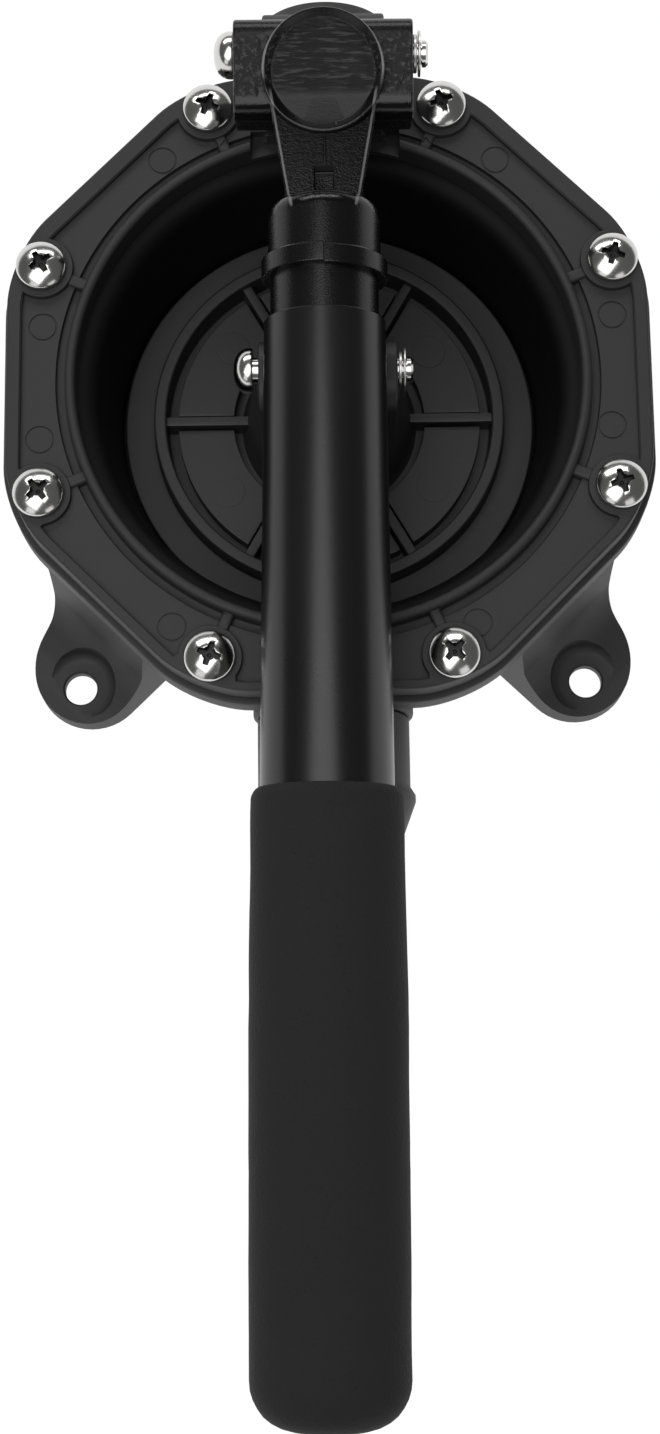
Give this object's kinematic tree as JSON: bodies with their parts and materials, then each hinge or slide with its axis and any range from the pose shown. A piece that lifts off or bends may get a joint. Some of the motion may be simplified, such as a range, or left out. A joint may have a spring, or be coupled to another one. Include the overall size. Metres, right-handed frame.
{
  "type": "manual bilge pump",
  "caption": "Round diaphragm bilge pump with an open bowl, bolted clamp ring, foot ears, barbed hose tails and a long lever handle with a foam grip.",
  "frame": {"origin": "on the mounting plane, under the middle of the round chamber", "axes": "+Z out of the mounting plane through the open bowl, -Y along the handle towards the grip, X along the handle's pivot pin"},
  "size_m": [0.1518, 0.3375, 0.1025],
  "materials": {
    "body_plastic": "satin black moulded plastic",
    "ring_plastic": "matt black glass-filled plastic",
    "plate_plastic": "satin black moulded plastic",
    "plug_plastic": "matt black plastic",
    "rubber": "matt black rubber",
    "casting": "semi-gloss black coated casting",
    "tube": "satin black coated tube",
    "foam": "dark grey closed-cell foam",
    "steel": "polished stainless steel",
    "nylon": "natural nylon"
  },
  "bodies": {
    "pump": {"pump_body": "body_plastic", "clamp_ring": "ring_plastic", "diaphragm": "rubber", "clamp_screw_1": "steel", "clamp_screw_2": "steel", "clamp_screw_3": "steel", "clamp_screw_4": "steel", "clamp_screw_5": "steel", "clamp_screw_6": "steel", "clamp_screw_7": "steel", "clamp_screw_8": "steel", "outlet_tail": "body_plastic", "outlet_seal": "rubber", "outlet_valve_seat": "body_plastic", "inlet_tail": "body_plastic", "inlet_seal": "rubber", "inlet_valve_seat": "body_plastic", "pivot_bush": "nylon"},
    "plate": {"diaphragm_plate": "plate_plastic", "backing_plate": "plate_plastic", "hub_bolt": "steel"},
    "handle": {"yoke": "casting", "pivot_pin": "steel", "pivot_washer": "steel", "pivot_clip": "steel", "link_bush": "nylon", "link_pin": "steel", "link_washer": "steel", "link_clip": "steel", "handle_tube": "tube", "tube_plug": "plug_plastic", "handle_grip": "foam"},
    "inlet_valve": {"inlet_flap": "rubber"},
    "outlet_valve": {"outlet_flap": "rubber"}
  },
  "joints": [
    {"name": "handle_pivot", "type": "hinge", "parent": "pump", "child": "handle", "pos_m": [0, 0.067, 0.0871], "axis": [-1, 0.0082, 0], "range_deg": [0, 35]},
    {"name": "plate_slide", "type": "slide", "parent": "pump", "child": "plate", "axis": [0, 0, 1], "range_m": [0, 0.0425], "deforming": ["diaphragm"]},
    {"name": "inlet_flap_hinge", "type": "hinge", "parent": "pump", "child": "inlet_valve", "pos_m": [0, -0.08, 0.0398], "axis": [1, 0, 0], "range_deg": [0, 35], "stiffness_Nm_per_rad": 0.001},
    {"name": "outlet_flap_hinge", "type": "hinge", "parent": "pump", "child": "outlet_valve", "pos_m": [0, 0.0714, 0.0398], "axis": [1, 0, 0], "range_deg": [0, 35], "stiffness_Nm_per_rad": 0.001}
  ],
  "couplings": [
    {"joint": "plate_slide", "follows": "handle_pivot", "m_per_rad": 0.0694}
  ]
}
